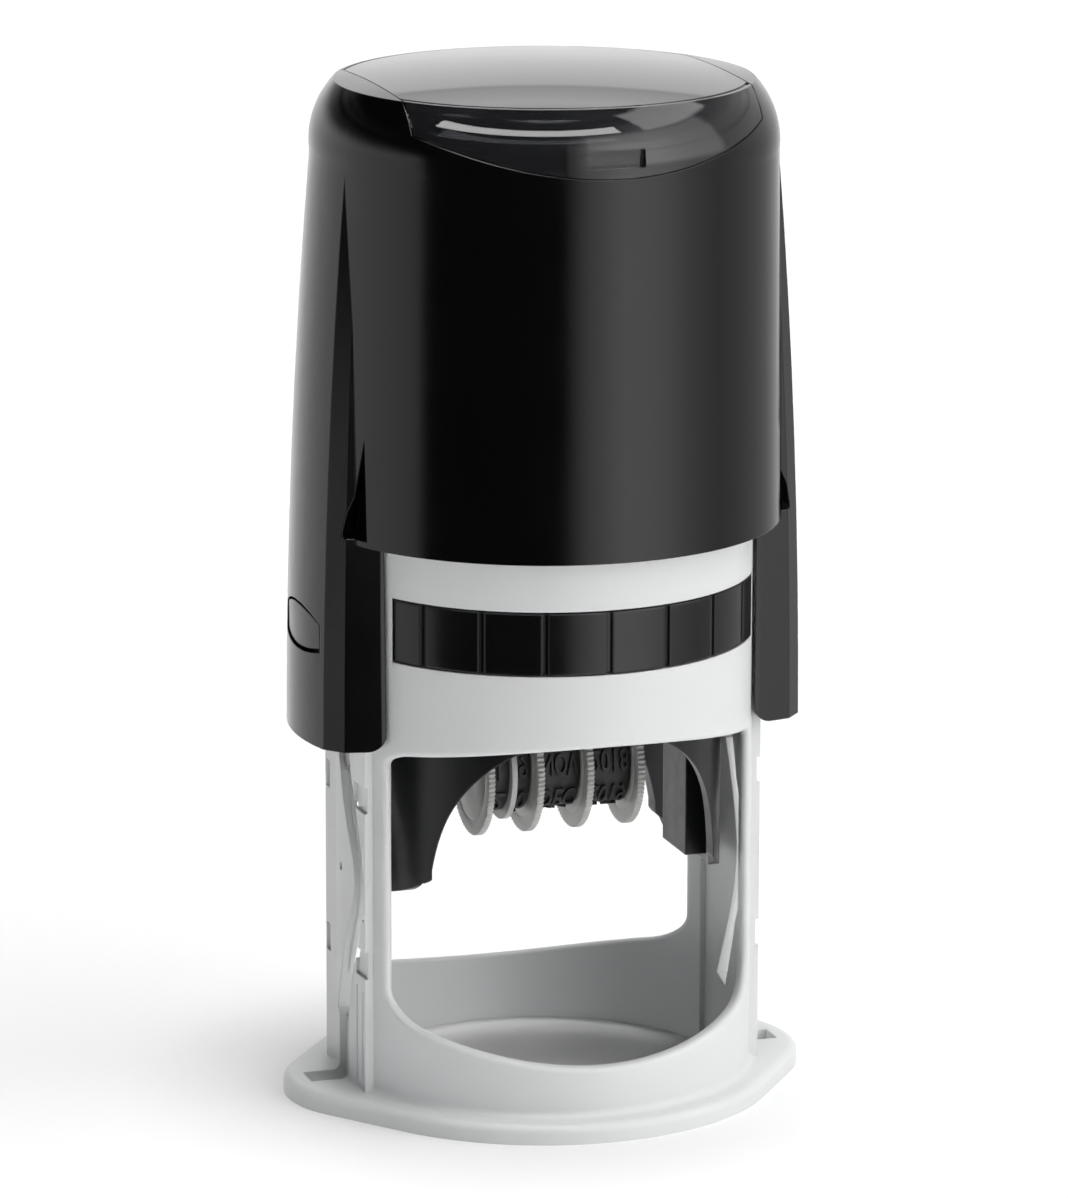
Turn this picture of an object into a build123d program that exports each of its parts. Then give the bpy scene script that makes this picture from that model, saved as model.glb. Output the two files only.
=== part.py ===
from build123d import *
import os
from math import cos, pi, radians, sin, sqrt

# Rotary self-inking date stamp for a round 45 mm imprint. Millimetres, +Z up.
# Origin: centre of the base at the paper plane. X runs from lock button to lock button, -Y is the front.

# Frame
sleeve_radius = 27.5
sleeve_wall = 1.6
sleeve_top = 80.0
plate_x = 27.2                 # outer face of the flat side walls
plate_wall = 1.7
plate_half_width = 9.0
plate_top = 77.0
roof_bottom = 70.6
roof_thickness = 1.6
spring_post = (4.5, 6.0)       # radius, height over the roof's underside
flange_radius = 30.9
flange_thickness = 2.6
ear_radius = 14.0
ear_reach = 35.2
ear_slot = (27.9, 31.9, 2.1)   # from, to, half width
flange_round = 1.1
foot_round = 1.0
window_half = 24.0
window_bottom = 9.1
window_top = 51.6
window_bottom_arc = 66.0
window_top_arc = 100.0
window_corners = (5.0, 2.0)    # lower, upper radius
window_lip = 0.7
bay_half = 24.4
bay_bottom = 61.25
bay_top = 69.7
ledge = ((22.6, 24.4), (8.8, 11.2), (60.2, 61.2))   # cartridge rail in X, Y and Z
# pockets and openings in the side walls: Y range, Z range, depth
wall_pockets = (
    ((6.9, 8.6), (39.8, 43.5), 0.6),
    ((6.9, 8.6), (17.4, 21.2), 0.6),
    ((-10.0, -4.6), (40.3, 43.8), 0.45),
    ((-10.0, -5.0), (18.0, 21.6), 0.45),
    ((-8.9, -5.4), (25.8, 30.8), 3.0),
    ((-8.1, -7.7), (3.4, 16.0), 0.3),
    ((-5.7, -5.3), (3.4, 16.4), 0.3),
)
mark_hole = (0.55, 0.9, 30.8, 0.9)    # radius, Y, Z, depth

# Press stroke and turning mechanism
stroke = 44.0
axle_z = 52.0
axle_radius = 2.0
cam_arm = 6.4            # cam pin from the axle
cam_pin_radius = 1.3
running_gap = 0.06
slot_gap = 0.25
groove_width = 4.2
groove_depth = 0.7
slot_overrun = 1.2             # share of a path step that the slot runs past each end

# Housing
rim_radius = 31.06
rim_z = 76.6
shoulder_radius = 30.35
shoulder_z = 125.0
crown_radius = 27.2
crown_z = 134.0
top_z = 135.6
inner_radius = 29.0
neck_radius = 28.0
crest_radius = 26.4
ceiling_z = 131.0
spring_stud = (4.0, 5.0)       # radius, length
waist = (29.55, 130.4)
# height, outer radius, half width of outer face, chamfer x, chamfer y, front x, front y
wing_sections = (
    (49.3, 33.7, 8.7, 30.4, 11.2, 25.7, 12.3),
    (80.0, 33.05, 8.6, 29.9, 10.9, 25.7, 11.8),
    (126.0, 30.2, 8.2, 27.6, 9.6, 24.5, 10.2),
)
wing_toe = (25.0, 2.6)        # inner end of the wing's lower corner, its rounding
wing_pocket = (31.0, 9.5)     # reach in X, half width in Y
wing_pocket_top = 80.0
cover_half = 23.3
smile_radius = 59.0
smile_z = 125.5
cover_wall = 1.5
seam_gap = 0.15
crown_groove = (26.5, 134.1, 0.26)    # ring radius, height, groove radius
thumb_notch = ((-3.6, 3.6), (-32.0, -28.9), (126.9, 129.2))
relief_angle = 68.0            # degrees from the front
relief_corners = ((64.4, 77.4), (65.6, 90.5), (71.6, 77.4))    # degrees, height
relief_depth = 1.3

# Lock buttons
button_z = (61.0, 61.9, 65.5, 67.3)   # bottom, lower corner, shoulder, top
button_half = 7.7
button_face = 33.35
button_gap = 0.45
button_flange = ((29.4, 30.7), 8.7, (60.4, 68.1))    # X, half width, Z

# Rotor
rotor_radius = 23.4
rotor_wall = 1.5
rotor_plate = (56.5, 58.5)
rotor_leg_bottom = 28.4
rotor_sweep = 24.0
print_face = 60.0
text_radius = 22.0
date_window = (12.6, 5.0)     # half width, half height
boss = (18.4, 4.6, 29.9)      # inner face, half width, bottom
arch_points = ((19.3, 33.2), (18.9, 36.0), (17.2, 42.0), (13.4, 47.5))    # half width, height
arch_top = 52.5
arch_foot = 0.9                # rounding at the lower end of the arch
pin_inner = 19.4               # inner end of the steel pins
leg_x = (23.8, 25.2)
leg_y = (2.7, 7.0)
leg_bottom = 48.4
leg_boss = 3.3                 # radius round the axle

# Date wheels and bands
wheel_z = 42.8
wheel_radius = 8.8
disc_thickness = 0.9
drum_radius = 4.5
band_inner = 4.8
band_thickness = 0.8
character_height = 0.45
nose_half = 3.0
nose_round = 1.2
band_pad = (1.5, 0.25)         # half length of the raised character block, side margin
axle_rod_radius = 1.2
# name, disc centre, band from, band to
date_wheels = (
    ("tens", -9.7, -9.05, -6.45),
    ("units", -2.9, -5.55, -3.55),
    ("month", 3.9, -2.25, 3.25),
    ("year", 10.9, 4.55, 10.25),
)
separator_x = -6.0
separator_thickness = 0.7
separator_radius = 6.9
hanger_x = (11.7, 12.3)
hanger_drop = 2.6              # below the wheel axle
bridge_x = (-12.3, -10.6)      # cheek opposite the hanger
bridge_z = (54.0, 58.4)

# Ink cartridge
case_radius = 24.6
case_half = 23.3
case_bottom = 61.45
case_top = 69.5
cavity_radius = 22.9
cavity_half = 22.3
case_roof = 1.4
pad_face = 63.2
band_half = 24.2
groove_step = 17.3            # degrees between grip grooves
grip_grooves = 7
grip_groove = (0.7, 0.9)       # width, double depth
grip_back = -11.6

# Return spring
spring_radius = 7.5
spring_wire = 1.3
spring_turns = 8

# Print plate: outer radius and width of the rings, and the tick dial
ring_height = 0.7
rings = ((21.7, 0.8), (20.3, 0.4), (14.6, 0.5))
ticks = (36, 15.9, 19.0, 0.4)  # number, from, to, half width

low = (Align.CENTER, Align.CENTER, Align.MIN)


def box(x, y, z):
    """Box from (low, high) pairs."""
    size = [abs(b - a) for a, b in (x, y, z)]
    middle = [(a + b) / 2 for a, b in (x, y, z)]
    return Pos(*middle) * Box(*size)


def tube(radius, z_from, z_to):
    return Pos(0, 0, z_from) * Cylinder(radius, z_to - z_from, align=low)


def rod(radius, x_from, x_to, y, z):
    """Round bar along X."""
    return Pos((x_from + x_to) / 2, y, z) * Rot(0, 90, 0) * Cylinder(radius, abs(x_to - x_from))


def both_sides(solid):
    return solid + mirror(solid, Plane.YZ)


def cam_point(turn):
    """Where the cam pin is, in Y and Z, after the rotor has turned this far."""
    y = -cam_arm * sin(turn)
    z = axle_z - stroke * turn / pi - cam_arm * cos(turn)
    return y, z


def face_of(parts):
    """Flat face bounded by lines and arcs that follow each other."""
    return make_face([edge for part in parts for edge in part.edges()])


def ribbon(points, width):
    """Face of constant width that follows points in the Y-Z plane."""
    left, right = [], []
    for i, (y, z) in enumerate(points):
        y0, z0 = points[max(i - 1, 0)]
        y1, z1 = points[min(i + 1, len(points) - 1)]
        length = sqrt((y1 - y0) ** 2 + (z1 - z0) ** 2)
        ny, nz = -(z1 - z0) / length, (y1 - y0) / length
        left.append((y + ny * width / 2, z + nz * width / 2))
        right.append((y - ny * width / 2, z - nz * width / 2))
    edges = [Spline(*left), Line(left[-1], right[-1]), Spline(*right), Line(right[0], left[0])]
    return Plane.YZ * face_of(edges)


def window_profile():
    """Window outline in X and Z: arched sill and head, straight sides."""
    def arc_z(at, radius, x):
        return at + (radius - sqrt(radius ** 2 - x ** 2))

    sill = arc_z(window_bottom, window_bottom_arc, window_half)
    head = 2 * window_top - arc_z(window_top, window_top_arc, window_half)
    lines = [
        ThreePointArc((-window_half, sill), (0, window_bottom), (window_half, sill)),
        Line((window_half, sill), (window_half, head)),
        ThreePointArc((window_half, head), (0, window_top), (-window_half, head)),
        Line((-window_half, head), (-window_half, sill)),
    ]
    face = face_of(lines)
    corners = face.vertices().sort_by(Axis.Y)
    face = fillet(corners[:2], window_corners[0])
    corners = [v for v in face.vertices() if v.Y > (sill + head) / 2]
    return fillet(corners, window_corners[1])


def flange():
    ear_centre = ear_reach - ear_radius
    circles = [Circle(flange_radius).edge()]
    circles += [(Pos(side * ear_centre, 0) * Circle(ear_radius)).edge() for side in (-1, 1)]
    plate = extrude(make_hull(ShapeList(circles)), flange_thickness)
    return fillet(plate.faces().sort_by(Axis.Z)[-1].edges(), flange_round)


def round_edges(body, radius):
    """Window edges that lie on a cylinder of this radius."""
    found = []
    for edge in body.edges():
        points = [edge @ t for t in (0.0, 0.3, 0.7, 1.0)]
        on_wall = all(abs(sqrt(p.X ** 2 + p.Y ** 2) - radius) < 0.05 for p in points)
        in_height = all(window_bottom - 0.5 < p.Z < window_top + 0.5 for p in points)
        inside = in_height and all(abs(p.X) < window_half + 0.05 for p in points)
        if on_wall and inside:
            found.append(edge)
    return found


def base_frame():
    body = flange() + tube(sleeve_radius, 0, sleeve_top)
    body += box((-plate_x, plate_x), (-plate_half_width, plate_half_width), (0, plate_top))
    inner_half = plate_half_width - sleeve_wall
    inner_x = plate_x - plate_wall
    body -= tube(sleeve_radius - sleeve_wall, -1, sleeve_top + 1)
    body -= box((-inner_x, inner_x), (-inner_half, inner_half), (-1, sleeve_top + 1))
    roof = tube(sleeve_radius - sleeve_wall + 0.2, roof_bottom, roof_bottom + roof_thickness)
    roof += tube(spring_post[0], roof_bottom, roof_bottom + spring_post[1])
    body += roof
    slots = both_sides(box((leg_x[0] - 0.4, leg_x[1] + 0.3), (leg_y[0] - 0.4, leg_y[1] + 0.4),
                           (roof_bottom - 1, sleeve_top + 1)))
    body -= slots
    opening = Plane.XZ * window_profile()
    body -= extrude(opening, 40, both=True)
    body = fillet(round_edges(body, sleeve_radius), window_lip)
    body = fillet(round_edges(body, sleeve_radius - sleeve_wall), window_lip / 2)
    foot = [e for e in body.edges().filter_by(GeomType.CIRCLE)
            if abs((e @ 0.5).Z - flange_thickness) < 0.01 and abs(e.radius - sleeve_radius) < 0.01]
    body = fillet(foot, foot_round)
    body -= box((-bay_half, bay_half), (-40, -8), (bay_bottom, bay_top))
    rail = box(*ledge)
    rail += mirror(rail, Plane.XZ)
    rail &= tube(sleeve_radius - 0.8, ledge[2][0] - 1, ledge[2][1] + 1)
    body += both_sides(rail)
    steps = 16
    span = steps - 2 * slot_overrun
    path = [cam_point(pi * (i - slot_overrun) / span) for i in range(steps + 1)]
    slot = extrude(ribbon(path, 2 * (cam_pin_radius + slot_gap)), 3, both=True)
    curve = [cam_point(pi * i / 8) for i in range(1, 8)]
    lead = [(0, plate_top + 1), (0, 64), (0, 52)]
    tail = [(0, 8.5), (0, 4.5), (0, flange_thickness - 3)]
    groove = extrude(ribbon(lead + curve + tail, groove_width), 3, both=True)
    for side in (-1, 1):
        body -= Pos(side * plate_x, 0, 0) * slot
        body -= Pos(side * (plate_x + 3 - groove_depth), 0, 0) * groove
    radius, y, z, depth = mark_hole
    cuts = rod(radius, plate_x - depth, plate_x + 1, y, z)
    cuts += box(ear_slot[:2], (-ear_slot[2], ear_slot[2]), (-1, flange_thickness + 1))
    for y_range, z_range, depth in wall_pockets:
        cuts += box((plate_x - depth, plate_x + 1), y_range, z_range)
    return body - both_sides(cuts)


def return_spring():
    seat = roof_bottom + roof_thickness
    height = ceiling_z - seat
    coil_height = height - spring_wire
    helix = Helix(coil_height / spring_turns, coil_height, spring_radius)
    path = Pos(0, 0, seat + spring_wire / 2) * helix
    profile = Plane(path @ 0, z_dir=path % 0) * Circle(spring_wire / 2 - 0.02)
    return sweep(profile, path=path, is_frenet=True)


def revolve_outline(inset):
    """Outer form of the housing, shrunk by inset."""
    rim = (rim_radius - inset, rim_z)
    shoulder = (shoulder_radius - inset, shoulder_z)
    middle = (waist[0] - inset, waist[1] - inset * 0.4)
    crown = (crown_radius - inset * 0.7, crown_z - inset)
    lines = [
        Line((0, rim_z), rim),
        Line(rim, shoulder),
        ThreePointArc(shoulder, middle, crown),
        Spline(crown, (0, top_z - inset), tangents=((-1, 0.11), (-1, 0))),
        Line((0, top_z - inset), (0, rim_z)),
    ]
    return revolve(Plane.XZ * face_of(lines), Axis.Z)


def cover_zone(gap):
    """Block that holds the top cover: between the side seams and above the curved lower edge."""
    lens = Pos(0, 0, smile_z + smile_radius) * Rot(90, 0, 0) * Cylinder(smile_radius - gap, 80)
    return lens & box((gap - cover_half, cover_half - gap), (-40, 40), (120, 140))


def wing():
    """Left wing as a loft through three cross sections."""
    faces = []
    for z, outer, half, chamfer_x, chamfer_y, front_x, front_y in wing_sections:
        edge_x = sqrt(outer ** 2 - half ** 2)
        inside = 18.0
        lines = [
            ThreePointArc((-edge_x, half), (-outer, 0), (-edge_x, -half)),
            Polyline((-edge_x, -half), (-chamfer_x, -chamfer_y), (-front_x, -front_y), (-inside, -front_y)),
            Line((-inside, -front_y), (-inside, front_y)),
            Polyline((-inside, front_y), (-front_x, front_y), (-chamfer_x, chamfer_y), (-edge_x, half)),
        ]
        faces.append(Pos(0, 0, z) * face_of(lines))
    return loft(faces)


def button_outline(gap):
    """Lock button outline in Y and Z: curved bottom, upright ends, arched top."""
    bottom, corner, shoulder, top = button_z
    half = button_half - gap
    lines = [
        ThreePointArc((-half, corner + gap), (0, bottom + gap), (half, corner + gap)),
        Line((half, corner + gap), (half, shoulder)),
        ThreePointArc((half, shoulder), (0, top - gap), (-half, shoulder)),
        Line((-half, shoulder), (-half, corner + gap)),
    ]
    return Plane.YZ * face_of(lines)


def housing_shell():
    wings = wing()
    wings += mirror(wings, Plane.YZ)
    body = revolve_outline(0) + wings
    outline = [(0, 40), (inner_radius, 40), (inner_radius, plate_top + stroke + 0.3), (neck_radius, 121.6),
               (neck_radius, sleeve_top + stroke + 0.4), (crest_radius, 126.2), (crest_radius, ceiling_z),
               (0, ceiling_z)]
    cavity = revolve(Plane.XZ * make_face(Polyline(*outline, close=True).edges()), Axis.Z)
    upper = cavity & tube(40, rim_z, ceiling_z)
    body -= upper
    body -= tube(sleeve_radius + 0.45, 40, rim_z)
    reach, half = wing_pocket
    pocket = box((-reach, reach), (-half, half), (40, wing_pocket_top - 3))
    body -= pocket
    body -= (revolve_outline(0) - revolve_outline(cover_wall + seam_gap)) & cover_zone(0)
    body += tube(spring_stud[0], ceiling_z - spring_stud[1], ceiling_z + 1)
    inner, rounding = wing_toe
    toe_top = wing_sections[0][0] + rounding
    toe = box((inner, inner + rounding), (-20, 20), (40, toe_top))
    toe -= Pos(inner + rounding, 0, toe_top) * Rot(90, 0, 0) * Cylinder(rounding, 50)
    body -= both_sides(toe)
    window = extrude(button_outline(0), 4)
    body -= Pos(reach - 1, 0, 0) * window
    body -= Pos(-reach - 3, 0, 0) * window
    return body - relief()


def relief():
    """Four wedge-shaped reliefs where the wings leave the round body."""
    angle = radians(relief_angle)
    corners = [(rim_radius * (radians(a) - angle), z) for a, z in relief_corners]
    flat = Polyline(*corners, close=True)
    outward = Vector(sin(angle), -cos(angle), 0)
    plane = Plane(origin=outward * (rim_radius + 1), x_dir=(cos(angle), sin(angle), 0), z_dir=outward)
    cut = extrude(plane * make_face(flat.edges()), -relief_depth - 1)
    cut += mirror(cut, Plane.XZ)
    return both_sides(cut)


def top_cover():
    skin = (revolve_outline(0) - revolve_outline(cover_wall)) & cover_zone(seam_gap)
    ring_radius, ring_z, groove_radius = crown_groove
    return skin - box(*thumb_notch) - Pos(0, 0, ring_z) * Torus(ring_radius, groove_radius)


def lock_button(side):
    depth, half, height = button_flange
    cap = Pos(depth[1], 0, 0) * extrude(button_outline(button_gap), button_face - depth[1])
    cap &= tube(button_face, 50, 80)
    wide = box(depth, (-half, half), height)
    part = cap + wide
    return part if side > 0 else mirror(part, Plane.YZ)


def carrier_leg(side):
    """Arm that hangs from the housing ceiling and carries the rotor axle."""
    part = box(leg_x, leg_y, (leg_bottom, ceiling_z))
    part += rod(leg_boss, *leg_x, 0, axle_z)
    part += box(leg_x, (0, leg_y[0] + 0.5), (axle_z - leg_boss, axle_z + leg_boss))
    part -= rod(axle_radius + running_gap, leg_x[0] - 1, leg_x[1] + 1, 0, axle_z)
    return part if side > 0 else mirror(part, Plane.YZ)


def rotor_body():
    top = rotor_plate[1]
    body = tube(rotor_radius, rotor_leg_bottom, top)
    body -= tube(rotor_radius - rotor_wall, rotor_leg_bottom - 1, rotor_plate[0])
    half, low_z = arch_points[0]
    foot_z = low_z - 2
    corner = arch_foot * (1 - sqrt(0.5))
    wide, foot_top = half + arch_foot, foot_z + arch_foot
    left = [(-x, z) for x, z in arch_points]
    right = [(x, z) for x, z in reversed(arch_points)]
    arch = [
        Line((-wide, 20), (-wide, foot_z)),
        ThreePointArc((-wide, foot_z), (-half - corner, foot_z + corner), (-half, foot_top)),
        Line((-half, foot_top), (-half, low_z)),
        Spline(*left, (0, arch_top), *right),
        Line((half, low_z), (half, foot_top)),
        ThreePointArc((half, foot_top), (half + corner, foot_z + corner), (wide, foot_z)),
        Line((wide, foot_z), (wide, 20)),
        Line((wide, 20), (-wide, 20)),
    ]
    body -= extrude(Plane.XZ * face_of(arch), 40, both=True)
    inner, half, bottom = boss
    body += both_sides(box((inner, rotor_radius - 1), (-half, half), (bottom, rotor_plate[0] + 0.5)))
    body &= rod(rotor_sweep, -30, 30, 0, axle_z)
    body -= box((-date_window[0], date_window[0]), (-date_window[1], date_window[1]), (50, 70))
    for side in (-1, 1):
        body -= rod(axle_radius, side * pin_inner, side * 30, 0, axle_z)
        body -= rod(cam_pin_radius, side * pin_inner, side * 30, 0, axle_z - cam_arm)
    return body


def pins(radius, reach, z):
    return both_sides(rod(radius, pin_inner, reach, 0, z))


def text_plate():
    """Rubber print plate: thin backing with raised plain rings and a raised dial of ticks."""
    foot = print_face - ring_height
    backing = tube(text_radius, rotor_plate[1], foot)
    for outer, width in rings:
        backing += tube(outer, foot - 0.1, print_face) - tube(outer - width, foot - 1, print_face + 1)
    number, start, end, half = ticks
    for i in range(number):
        backing += Rot(0, 0, 360 / number * i) * box((start, end), (-half, half), (foot - 0.1, print_face))
    return backing - box((-date_window[0], date_window[0]), (-date_window[1], date_window[1]), (50, 70))


def band_loop(grow):
    """Closed outline of a date band, in Y and Z, round the drum below and over the nose above."""
    nose_top = print_face - character_height - band_thickness
    drum = (Pos(0, wheel_z) * Circle(band_inner + grow)).edge()
    corner_y, corner_z = nose_half - nose_round, nose_top - nose_round
    corners = [(Pos(side * corner_y, corner_z) * Circle(nose_round + grow)).edge() for side in (-1, 1)]
    return Plane.YZ * make_hull(ShapeList([drum, *corners]))


def date_band(x_from, x_to):
    width = x_to - x_from
    loop = extrude(band_loop(band_thickness), width) - extrude(band_loop(0), width)
    half, margin = band_pad
    pad = box((margin, width - margin), (-half, half), (print_face - character_height - 0.1, print_face))
    return Pos(x_from, 0, 0) * (loop + pad)


def band_bridge():
    """Carrier of the bands: nose bar inside the loops, end cheeks to the rotor plate and the axle hanger."""
    nose = Pos(bridge_x[1], 0, 0) * extrude(band_loop(-0.15), hanger_x[1] - bridge_x[1])
    nose &= box((-20, 20), (-5, 5), (bridge_z[0], print_face))
    cheek = box(bridge_x, (-date_window[1] + 0.1, date_window[1] - 0.1), bridge_z)
    cheek += box(hanger_x, (-date_window[1] + 0.1, date_window[1] - 0.1), bridge_z)
    hanger = box(hanger_x, (-nose_half, nose_half), (wheel_z - hanger_drop, rotor_plate[0] - 0.1))
    body = nose + cheek + hanger
    body -= rod(axle_rod_radius, hanger_x[0] - 1, hanger_x[1] + 1, 0, wheel_z)
    half = separator_thickness / 2
    return body - box((separator_x - half, separator_x + half), (-4, 4), (50, 57.0))


def band_separator():
    half = separator_thickness / 2
    disc = rod(separator_radius, separator_x - half, separator_x + half, 0, wheel_z)
    neck = box((separator_x - half, separator_x + half), (-2.2, 2.2), (wheel_z, 57.0))
    return disc + neck - rod(axle_rod_radius, separator_x - 1, separator_x + 1, 0, wheel_z)


def date_wheel(disc_x, band_from, band_to):
    """Thumb disc with the drum that its band runs on."""
    half = disc_thickness / 2
    wheel = rod(wheel_radius, disc_x - half, disc_x + half, 0, wheel_z)
    far_end = band_to if disc_x < band_from else band_from
    wheel += rod(drum_radius, disc_x, far_end, 0, wheel_z)
    return wheel - rod(axle_rod_radius + running_gap, -20, 20, 0, wheel_z)


def ink_cartridge_case():
    body = tube(case_radius, case_bottom, case_top) & box((-case_half, case_half), (-30, 30), (60, 72))
    grip = tube(sleeve_radius, case_bottom, case_top) - tube(case_radius - 1, 60, 72)
    grip &= box((-band_half, band_half), (-30, grip_back), (60, 72))
    body += grip
    cavity = tube(cavity_radius, 60, case_top - case_roof)
    cavity &= box((-cavity_half, cavity_half), (-30, 30), (60, 72))
    body -= cavity
    cut = Box(*grip_groove, case_top - case_bottom + 2)
    cut = Pos(0, -sleeve_radius, (case_bottom + case_top) / 2) * cut
    for i in range(grip_grooves):
        body -= Rot(0, 0, (i - grip_grooves // 2) * groove_step) * cut
    return body


def ink_pad():
    pad = tube(cavity_radius - 0.4, pad_face, case_top - case_roof)
    return pad & box((0.2 - cavity_half, cavity_half - 0.2), (-30, 30), (60, 72))


nodes = {
    "base_frame": base_frame(),
    "return_spring": return_spring(),
    "housing_shell": housing_shell(),
    "carrier_leg_left": carrier_leg(-1),
    "carrier_leg_right": carrier_leg(1),
    "top_cover": top_cover(),
    "lock_button_left": lock_button(-1),
    "lock_button_right": lock_button(1),
    "ink_cartridge_case": ink_cartridge_case(),
    "ink_pad": ink_pad(),
    "rotor_body": rotor_body(),
    "axle_pins": pins(axle_radius, leg_x[1] - 0.1, axle_z),
    "cam_pins": pins(cam_pin_radius, plate_x - 0.3, axle_z - cam_arm),
    "text_plate": text_plate(),
    "band_bridge": band_bridge(),
    "band_separator": band_separator(),
    "wheel_axle": rod(axle_rod_radius, -10.3, hanger_x[1] + 0.4, 0, wheel_z),
}
for name, disc_x, band_from, band_to in date_wheels:
    nodes["date_wheel_" + name] = date_wheel(disc_x, band_from, band_to)
    nodes["date_band_" + name] = date_band(band_from, band_to)

os.makedirs("parts", exist_ok=True)
for name, solid in nodes.items():
    export_step(solid, f"parts/{name}.step")
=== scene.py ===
from math import acos, atan2, cos, hypot, pi, radians, sin, tau

import bmesh
import bpy
from mathutils import Euler, Matrix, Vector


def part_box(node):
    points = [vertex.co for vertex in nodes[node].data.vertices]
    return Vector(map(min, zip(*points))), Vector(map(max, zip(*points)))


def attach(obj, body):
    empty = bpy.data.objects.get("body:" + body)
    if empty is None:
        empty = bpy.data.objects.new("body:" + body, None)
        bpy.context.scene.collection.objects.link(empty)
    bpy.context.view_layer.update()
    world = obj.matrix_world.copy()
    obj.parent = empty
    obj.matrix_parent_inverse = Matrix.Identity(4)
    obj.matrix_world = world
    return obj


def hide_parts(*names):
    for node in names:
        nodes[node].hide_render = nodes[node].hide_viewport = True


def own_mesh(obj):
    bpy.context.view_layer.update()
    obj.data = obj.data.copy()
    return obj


# Rotary self-inking date stamp: finishes, date wheels and bands, spring, ink pad, studio.
# Metres, +Z up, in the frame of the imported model.

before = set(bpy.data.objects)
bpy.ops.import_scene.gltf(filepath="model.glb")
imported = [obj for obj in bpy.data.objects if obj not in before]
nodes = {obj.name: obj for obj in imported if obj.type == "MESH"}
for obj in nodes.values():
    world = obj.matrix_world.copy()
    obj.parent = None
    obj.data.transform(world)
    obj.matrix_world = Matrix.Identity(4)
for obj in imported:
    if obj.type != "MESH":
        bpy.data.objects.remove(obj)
bpy.context.view_layer.update()
scene = bpy.context.scene
mm = 0.001
print("frame loaded,", len(nodes), "nodes")


# small helpers

def linear(hexCode):
    # sRGB hex to linear RGBA
    channels = [int(hexCode[i:i + 2], 16) / 255 for i in (1, 3, 5)]
    return (*[c / 12.92 if c <= 0.04045 else ((c + 0.055) / 1.055) ** 2.4 for c in channels], 1.0)


def addNode(tree, kind, inputs=None, **settings):
    node = tree.nodes.new(kind)
    for name, value in settings.items():
        setattr(node, name, value)
    for socket, value in (inputs or {}).items():
        if isinstance(value, bpy.types.NodeSocket):
            tree.links.new(value, node.inputs[socket])
        else:
            node.inputs[socket].default_value = value
    return node


def newMaterial(name):
    material = bpy.data.materials.new(name)
    material.use_nodes = True
    material.node_tree.nodes.clear()
    return material, material.node_tree


def paint(obj, material):
    obj.data.materials.clear()
    obj.data.materials.append(material)
    return obj


def newTree(name, sockets):
    # geometry tree with named inputs; the first socket is always the geometry that comes in
    tree = bpy.data.node_groups.new(name, "GeometryNodeTree")
    tree.interface.new_socket(name="Geometry", in_out="INPUT", socket_type="NodeSocketGeometry")
    for socketName, kind in sockets:
        tree.interface.new_socket(name=socketName, in_out="INPUT", socket_type="NodeSocket" + kind)
    tree.interface.new_socket(name="Geometry", in_out="OUTPUT", socket_type="NodeSocketGeometry")
    return tree, addNode(tree, "NodeGroupInput").outputs


def closeTree(tree, geometry, material):
    whole = addNode(tree, "GeometryNodeRealizeInstances", {"Geometry": geometry}).outputs[0]
    painted = addNode(tree, "GeometryNodeSetMaterial", {"Geometry": whole, "Material": material}).outputs[0]
    addNode(tree, "NodeGroupOutput", {"Geometry": painted})


def runTree(tree, name, values, startMesh=None, finish=None):
    # gives a plain mesh object made by the tree; finish adds modifiers that are applied with it
    holder = bpy.data.objects.new(name + "Holder", startMesh or bpy.data.meshes.new(name + "Start"))
    scene.collection.objects.link(holder)
    modifier = holder.modifiers.new("tree", "NODES")
    modifier.node_group = tree
    for item in tree.interface.items_tree:
        if item.item_type == "SOCKET" and item.in_out == "INPUT" and item.name in values:
            modifier[item.identifier] = values[item.name]
    if finish:
        finish(holder)
    bpy.context.view_layer.update()
    graph = bpy.context.evaluated_depsgraph_get()
    mesh = bpy.data.meshes.new_from_object(holder.evaluated_get(graph))
    bpy.data.objects.remove(holder)
    piece = bpy.data.objects.new(name, mesh)
    mesh.name = name
    scene.collection.objects.link(piece)
    return piece


def smoothByAngle(obj, degrees):
    obj.data.shade_smooth()
    obj.data.set_sharp_from_angle(angle=radians(degrees))


# finishes: every moulded part shares this skin, and its own look gives colours and sizes in mm
mouldSkin = {
    "cloudDetail": 3.0, "filmDetail": 5.0, "filmCoarseness": 0.6, "grainDetail": 2.0,
    "edgeSamples": 6,
    "edgeStart": 0.995, "edgeFull": 0.85,     # cosine of the bend where rubbing starts, and where it is full
    "filmRange": (0.35, 0.7),                 # part of the film pattern from the sharpest to the dullest skin
    "glowDepth": 1.2,
}


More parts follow.
